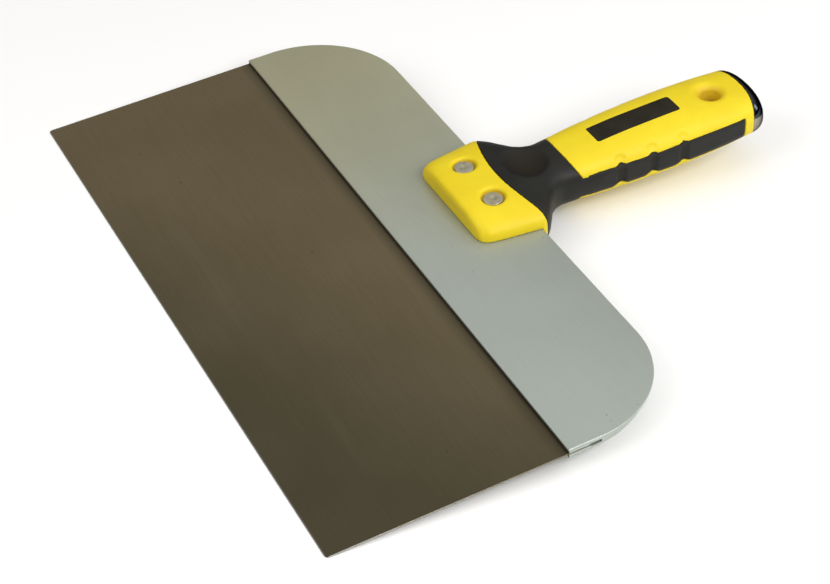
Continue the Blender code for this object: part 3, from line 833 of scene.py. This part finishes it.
def make_rivet(side):
    """Semi-tubular rivet: dimpled disc on top, rolled end underneath."""
    top = RIVET_HEAD_TOP
    seat = top - RIVET_HEAD_THICKNESS
    radius, shank = RIVET_HEAD_RADIUS, RIVET_SHANK_RADIUS
    roll_low = -seat - WASHER_THICKNESS - 1.0
    roll_high = -seat - WASHER_THICKNESS - 0.05
    profile = [(0.05, top - 0.24), (0.60, top - 0.23), (1.00, top - 0.17), (1.30, top - 0.07),
               (1.60, top - 0.01), (2.00, top), (3.00, top), (4.05, top - 0.04)]
    soft = RIVET_HEAD_ROUNDING
    profile += [(radius - soft + soft * sin(t), top - soft + (soft - 0.04) * cos(t))
                for t in [0.5 * pi * k / 5 for k in range(1, 6)]]
    profile += [(radius, seat + 0.15), (radius - 0.15, seat), (shank, seat), (shank, roll_high),
                (3.6, roll_high), (4.0, roll_high - 0.2), (4.1, 0.5 * (roll_low + roll_high)),
                (3.9, roll_low + 0.2), (3.4, roll_low), (2.3, roll_low), (1.8, roll_low + 0.3),
                (1.5, roll_low + 0.9), (1.5, roll_low + 6.0), (0.05, roll_low + 6.6)]
    place = Vector((*RIVET_PLACES[side], 0.0))
    angles = [2 * pi * k / RIVET_STEPS for k in range(RIVET_STEPS)]
    rings = [[place + Vector((r * cos(t), r * sin(t), z)) for t in angles] for r, z in profile]
    bm = bmesh.new()
    add_loft(bm, rings)
    return mesh_from("rivet_turned", bm, 0.75)


def make_label():
    """Plain panel with rounded corners and a fine sunk line, following the crown."""
    half = LABEL_HALF_WIDTH
    middle = (LABEL_START + LABEL_END) / 2
    long_half = (LABEL_END - LABEL_START) / 2
    across, along = LABEL_STEPS
    columns = [half * (2 * i / across - 1) for i in range(across + 1)]
    rows = [long_half * (2 * j / along - 1) for j in range(along + 1)]

    def edge_distance(x, y):
        """How far a point lies inside the rounded outline."""
        dx = abs(x) - (half - LABEL_CORNER_RADIUS)
        dy = abs(y) - (long_half - LABEL_CORNER_RADIUS)
        outside = sqrt(max(dx, 0.0) ** 2 + max(dy, 0.0) ** 2)
        return LABEL_CORNER_RADIUS - outside - min(max(dx, dy), 0.0)

    def corner_pull(x, y):
        """Grid point moved so that the sheet's corners follow the rounded outline."""
        dx = abs(x) - (half - LABEL_CORNER_RADIUS)
        dy = abs(y) - (long_half - LABEL_CORNER_RADIUS)
        if dx <= 0 or dy <= 0:
            return x, y
        share = max(dx, dy) / sqrt(dx * dx + dy * dy)
        new_x = half - LABEL_CORNER_RADIUS + dx * share
        new_y = long_half - LABEL_CORNER_RADIUS + dy * share
        return (new_x if x > 0 else -new_x), (new_y if y > 0 else -new_y)

    def lift(x, y):
        """Height above the handle: a raised sheet with a fine sunk line near its edge."""
        inward = edge_distance(x, y)
        rim = min(1.0, inward / LABEL_RIM_WIDTH) * LABEL_RIM_RISE
        line = max(0.0, 1.0 - abs(inward - LABEL_LINE_INSET) / LABEL_LINE_WIDTH)
        return rim - line * LABEL_LINE_DEPTH

    bm = bmesh.new()
    sheets = []
    for top in (True, False):
        sheet = []
        for y0 in rows:
            line = []
            for x0 in columns:
                x, y = corner_pull(x0, y0)
                height = top_height(x, y + middle) + (lift(x, y) if top else -LABEL_THICKNESS)
                line.append(bm.verts.new((x, y + middle, height)))
            sheet.append(line)
        sheets.append(sheet)
    for sheet in sheets:
        for a, b in zip(sheet, sheet[1:]):
            for i in range(len(columns) - 1):
                bm.faces.new((a[i], a[i + 1], b[i + 1], b[i]))
    loops = []
    for sheet in sheets:
        loop = sheet[0][:-1] + [row[-1] for row in sheet[:-1]]
        loop += sheet[-1][:0:-1] + [row[0] for row in sheet[:0:-1]]
        loops.append(loop)
    count = len(loops[0])
    for i in range(count):
        j = (i + 1) % count
        bm.faces.new((loops[0][i], loops[0][j], loops[1][j], loops[1][i]))
    return mesh_from("label_plate", bm, 0.9)


def cap_rings(front, rear, inset, rounding, lip):
    """Rings of a domed cup from its free edge to its closed end; lip rounds the free edge."""
    half_width, half_height, middle, squareness = section(CAP_BORDER_MIDDLE)
    shapes = []
    if lip > 0:
        for k in range(4):
            t = 0.5 * pi * k / 4
            shapes.append((front + lip * (1 - sin(t)), lip * (1 - cos(t)), 1.0))
    shapes.append((front + lip, 0.0, 1.0))
    steps = 16
    for k in range(1, steps + 1):
        t = 0.5 * pi * k / steps
        shapes.append((rear - rounding + rounding * sin(t), rounding * (1 - cos(t)), 1.0))
    shapes += [(rear, rounding, scale) for scale in (0.9, 0.75, 0.55, 0.35, 0.18, 0.05)]
    around = 128
    rings = []
    for y, extra, scale in shapes:
        ring = []
        for k in range(around):
            t = 2 * pi * (k + 0.5) / around
            c, s = cos(t), sin(t)
            wide = (half_width - inset - extra) * scale * abs(c) ** (2 / squareness)
            high = (half_height - inset - extra) * scale * abs(s) ** (2 / squareness)
            x = wide if c > 0 else -wide
            z = high if s > 0 else -high
            share = max(0.0, (y - CAP_BORDER_MIDDLE) / CAP_DEPTH)
            place = y + float(cap_border(x)) + share * (0.5 * CAP_BORDER_SKEW * x - CAP_LEAN * z)
            ring.append(Vector((x, place, middle + z)))
        rings.append(ring)
    return rings


def make_cap():
    """Pressed steel cup over the end of the core."""
    rear = CAP_BORDER_MIDDLE + CAP_DEPTH
    outer = cap_rings(CAP_BORDER_MIDDLE, rear, -CAP_PROUD, CAP_ROUNDING, CAP_LIP)
    inner = cap_rings(CAP_BORDER_MIDDLE, rear - CAP_WALL, CAP_WALL, CAP_ROUNDING - CAP_WALL, 0.0)
    bm = bmesh.new()
    add_loft(bm, outer[::-1] + inner)
    return mesh_from("cap_cup", bm, 0.8)


def carve_handle():
    """Meshes of the yellow core and the black grip."""
    field = Field()
    outer = field.envelope()
    smooth = outer.copy()
    for face in (1, -1):
        outer = soft_max(outer, -field.thumb_dish(face), THUMB_LIP)
    outer = soft_max(outer, -field.finger_grooves(), GROOVE_LIP)
    outer = soft_max(outer, -field.dimples(), DIMPLE_LIP)
    outer = soft_max(outer, -field.rivet_seats(), RIVET_RECESS_LIP)
    outer = soft_max(outer, -field.hang_hole(), HANG_SINK_LIP)
    outer = np.maximum(outer, -field.jaw_pocket())
    black = np.minimum(field.collar(), field.strips())
    yellow = soft_max(outer, SEAM_HALF_GAP - black, EDGE_RADIUS)
    yellow = soft_max(yellow, field.cap_end(), CAP_EDGE_RADIUS)
    flat = np.abs(field.x) - (field.half_width - STRIP_FLAT)
    fade = np.clip((STRIP_FLAT_FADE_END - field.y) / STRIP_FLAT_FADE_LENGTH, 0, 1)
    outer = np.maximum(outer, flat - STRIP_FLAT_FADE_DEPTH * fade)
    rubber = soft_max(outer, black + SEAM_HALF_GAP, EDGE_RADIUS)
    shallow, deep = HOLLOW_DEPTHS
    meshes = []
    for name, solid in (("core_moulding", yellow), ("grip_moulding", rubber)):
        mesh = mesh_from_field(name, solid, field.low)
        depth = -sample(smooth, field, mesh)
        paint(mesh, "hollow", np.clip((depth - shallow) / (deep - shallow), 0.0, 1.0))
        meshes.append(mesh)
    return meshes


def sample(values, field, mesh):
    """Field values at a mesh's vertices, from the nearest grid point."""
    points = np.zeros(len(mesh.vertices) * 3)
    mesh.vertices.foreach_get("co", points)
    cells = np.rint((points.reshape(-1, 3) - field.low) / VOXEL).astype(int)
    cells = np.clip(cells, 0, np.array(values.shape) - 1)
    return values[tuple(cells.T)]


# ---------------------------------------------------------------- stage

def make_floor():
    """Plain pale floor under the object."""
    size = FLOOR_HALF_SIZE
    mesh = bpy.data.meshes.new("floor")
    mesh.from_pydata([(-size, -size, 0), (size, -size, 0), (size, size, 0), (-size, size, 0)],
                     [], [(0, 1, 2, 3)])
    mesh.materials.append(floor_look())
    floor = bpy.data.objects.new("floor", mesh)
    bpy.context.scene.collection.objects.link(floor)


def add_area_light(name, place, aim, size, power, colour=(1.0, 1.0, 1.0)):
    """Soft rectangular lamp aimed at a point."""
    data = bpy.data.lights.new(name, "AREA")
    data.shape = "RECTANGLE"
    data.size, data.size_y = size
    data.energy = power
    data.color = colour
    lamp = bpy.data.objects.new(name, data)
    bpy.context.scene.collection.objects.link(lamp)
    lamp.location = place
    lamp.rotation_euler = (Vector(aim) - Vector(place)).to_track_quat("-Z", "Y").to_euler()


def light_scene():
    """Surroundings that brighten from the horizon up, and large soft lamps."""
    world = bpy.data.worlds.new("studio")
    world.use_nodes = True
    tree = world.node_tree
    direction = tree.nodes.new("ShaderNodeTexCoord").outputs["Generated"]
    height = tree.nodes.new("ShaderNodeSeparateXYZ")
    tree.links.new(direction, height.inputs["Vector"])
    ramp = tree.nodes.new("ShaderNodeValToRGB")
    tree.links.new(height.outputs["Z"], ramp.inputs["Fac"])
    stops = ((0.0, (0.035, 0.036, 0.040)), (0.30, (0.07, 0.072, 0.08)), (0.66, (0.50, 0.49, 0.47)),
             (1.0, (0.94, 0.95, 0.97)))
    while len(ramp.color_ramp.elements) < len(stops):
        ramp.color_ramp.elements.new(0.5)
    for element, (place, colour) in zip(ramp.color_ramp.elements, stops):
        element.position = place
        element.color = (*colour, 1.0)
    tree.links.new(ramp.outputs["Color"], tree.nodes["Background"].inputs["Color"])
    bpy.context.scene.world = world
    add_area_light("key", (1.3, 0.3, 1.25), (0.0, 0.02, 0.0), (0.9, 0.9), 21.0, (1.0, 0.985, 0.96))
    add_area_light("rear", (0.6, 1.4, 0.95), (0.0, 0.05, 0.0), (0.5, 0.9), 6.5)
    add_area_light("front", (0.1, -1.35, 1.0), (0.0, 0.0, 0.0), (1.0, 1.0), 9.0, (1.0, 0.97, 0.92))


def make_camera():
    """Camera at the photograph's viewing angle."""
    # Place and axes of the lens in tool axes, fitted to the blade's straight edges
    lens_place = Vector((594.2, -159.4, 543.1))
    right = Vector((0.4601, 0.8860, -0.0569))
    back = Vector((0.6802, -0.3106, 0.6642))
    up = back.cross(right)
    turn = TO_ROW.to_quaternion().to_matrix()
    axes = Matrix([turn @ right, turn @ up, turn @ back]).transposed()
    data = bpy.data.cameras.new("camera")
    data.sensor_width = 36.0
    data.lens = 85.39
    data.clip_start = 0.01
    camera = bpy.data.objects.new("camera", data)
    bpy.context.scene.collection.objects.link(camera)
    camera.matrix_world = Matrix.Translation(TO_ROW @ lens_place) @ axes.to_4x4()
    bpy.context.scene.camera = camera


# ---------------------------------------------------------------- assembly

def main():
    core, grip = carve_handle()
    # Rivet colour: dull grey plated steel, with a yellow tint that is a painted reflection of the
    # yellow moulding.
    rivet_steel = dull_steel_look("rivet_steel", (0.47, 0.44, 0.32))
    washer_steel = dull_steel_look("washer_steel", (0.50, 0.50, 0.48))
    pin_steel = dull_steel_look("pin_steel", (0.40, 0.40, 0.40))

    add_piece("blade_sheet", make_blade(), blade_look(), ["blade"])
    add_piece("backing_bar", make_backing(), backing_look(), ["backing"])
    add_piece("core_moulding", core, yellow_look(), ["handle_core"])
    add_piece("grip_moulding", grip, black_look(), ["soft_grip"])
    for name, side in (("left", -1), ("right", 1)):
        add_piece("rivet_head_" + name, make_rivet(side), rivet_steel, ["rivet_" + name])
    add_piece("label_plate", make_label(), label_look(), ["label_panel"])
    add_piece("cap_cup", make_cap(), chrome_look(), ["end_cap"])
    for node, material in (("rivet_washer_left", washer_steel), ("rivet_washer_right", washer_steel),
                           ("cap_pin", pin_steel)):
        frame["nodes"][node].data.materials.clear()
        frame["nodes"][node].data.materials.append(material)

    make_floor()
    light_scene()
    make_camera()
    bpy.context.scene.view_settings.view_transform = "Standard"


main()
